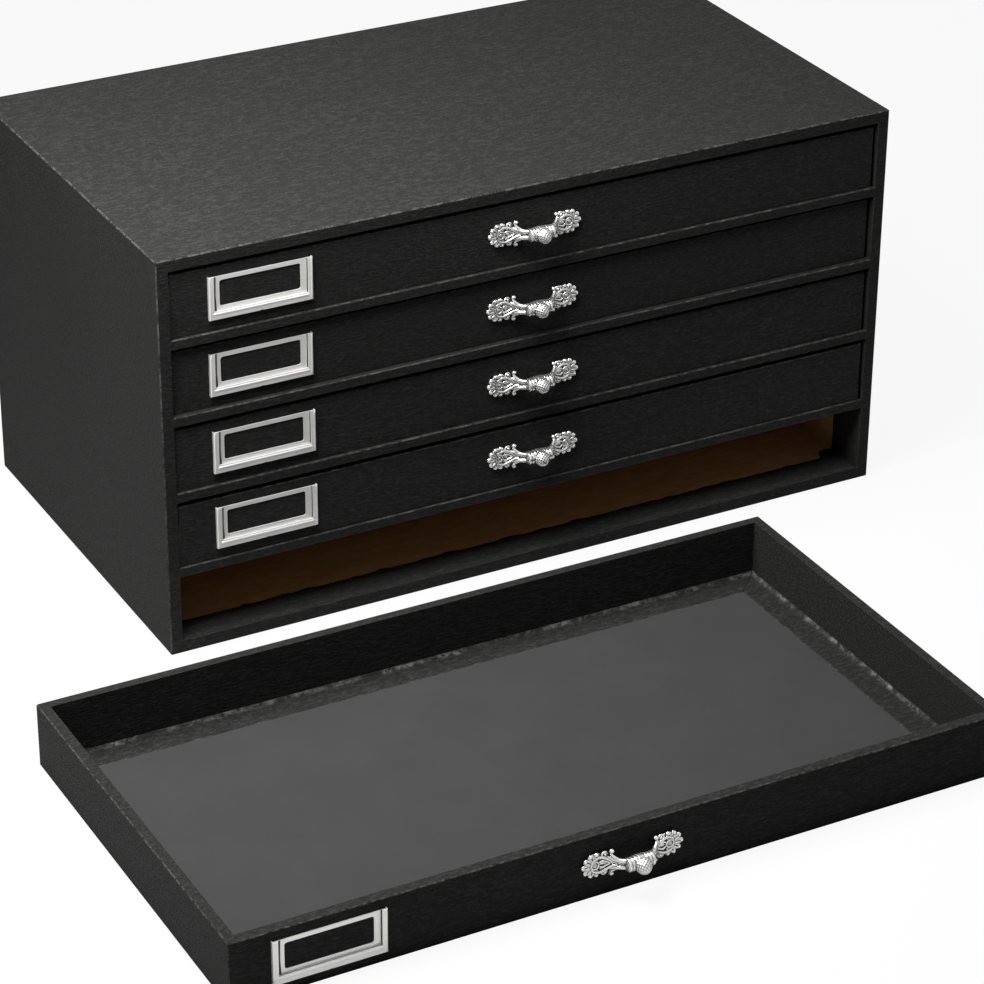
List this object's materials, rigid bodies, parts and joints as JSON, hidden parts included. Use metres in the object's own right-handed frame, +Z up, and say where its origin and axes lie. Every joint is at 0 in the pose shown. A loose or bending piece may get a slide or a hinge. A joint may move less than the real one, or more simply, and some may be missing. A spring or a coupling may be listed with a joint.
{
  "type": "craft stamp storage drawers",
  "caption": "Low cabinet of paper-covered board with shallow drawers, each with a metal label holder and an ornate cast bow handle; the bottom drawer stands taken out in front.",
  "frame": {"origin": "centre of the cabinet's underside, on the surface it stands on", "axes": "+X to the right seen from the front, -Y out of the front where the drawers open, +Z up"},
  "size_m": [0.593, 0.6109, 0.2506],
  "materials": {
    "board": "raw pressed fibreboard, matt",
    "paper": "black grained covering paper, low sheen",
    "liner": "grey lining card, matt",
    "nickel": "satin nickel plate",
    "silver": "antiqued bright cast metal, dark in the recesses"
  },
  "bodies": {
    "cabinet": {"left_board": "board", "right_board": "board", "top_board": "board", "bottom_board": "board", "back_board": "board", "shelf_1": "board", "shelf_2": "board", "shelf_3": "board", "shelf_4": "board", "case_cover": "paper", "back_cover": "paper", "base_cover": "paper", "shelf_wraps": "paper"},
    "drawer_1": {"drawer_1_base": "board", "drawer_1_front": "board", "drawer_1_back": "board", "drawer_1_sides": "board", "drawer_1_cover": "paper", "drawer_1_liner": "liner", "drawer_1_label_holder": "nickel", "drawer_1_handle": "silver"},
    "drawer_2": {"drawer_2_base": "board", "drawer_2_front": "board", "drawer_2_back": "board", "drawer_2_sides": "board", "drawer_2_cover": "paper", "drawer_2_liner": "liner", "drawer_2_label_holder": "nickel", "drawer_2_handle": "silver"},
    "drawer_3": {"drawer_3_base": "board", "drawer_3_front": "board", "drawer_3_back": "board", "drawer_3_sides": "board", "drawer_3_cover": "paper", "drawer_3_liner": "liner", "drawer_3_label_holder": "nickel", "drawer_3_handle": "silver"},
    "drawer_4": {"drawer_4_base": "board", "drawer_4_front": "board", "drawer_4_back": "board", "drawer_4_sides": "board", "drawer_4_cover": "paper", "drawer_4_liner": "liner", "drawer_4_label_holder": "nickel", "drawer_4_handle": "silver"},
    "drawer_5": {"drawer_5_base": "board", "drawer_5_front": "board", "drawer_5_back": "board", "drawer_5_sides": "board", "drawer_5_cover": "paper", "drawer_5_liner": "liner", "drawer_5_label_holder": "nickel", "drawer_5_handle": "silver"}
  },
  "joints": [
    {"name": "drawer_1_slide", "type": "slide", "parent": "cabinet", "child": "drawer_1", "axis": [0, -1, 0], "range_m": [0, 0.25]},
    {"name": "drawer_2_slide", "type": "slide", "parent": "cabinet", "child": "drawer_2", "axis": [0, -1, 0], "range_m": [0, 0.25]},
    {"name": "drawer_3_slide", "type": "slide", "parent": "cabinet", "child": "drawer_3", "axis": [0, -1, 0], "range_m": [0, 0.25]},
    {"name": "drawer_4_slide", "type": "slide", "parent": "cabinet", "child": "drawer_4", "axis": [0, -1, 0], "range_m": [0, 0.25]},
    {"name": "drawer_5_carry", "type": "slide", "parent": "cabinet", "child": "drawer_5", "axis": [0.8584, 0.5095, 0.0598], "range_m": [0, 0.1387]}
  ]
}
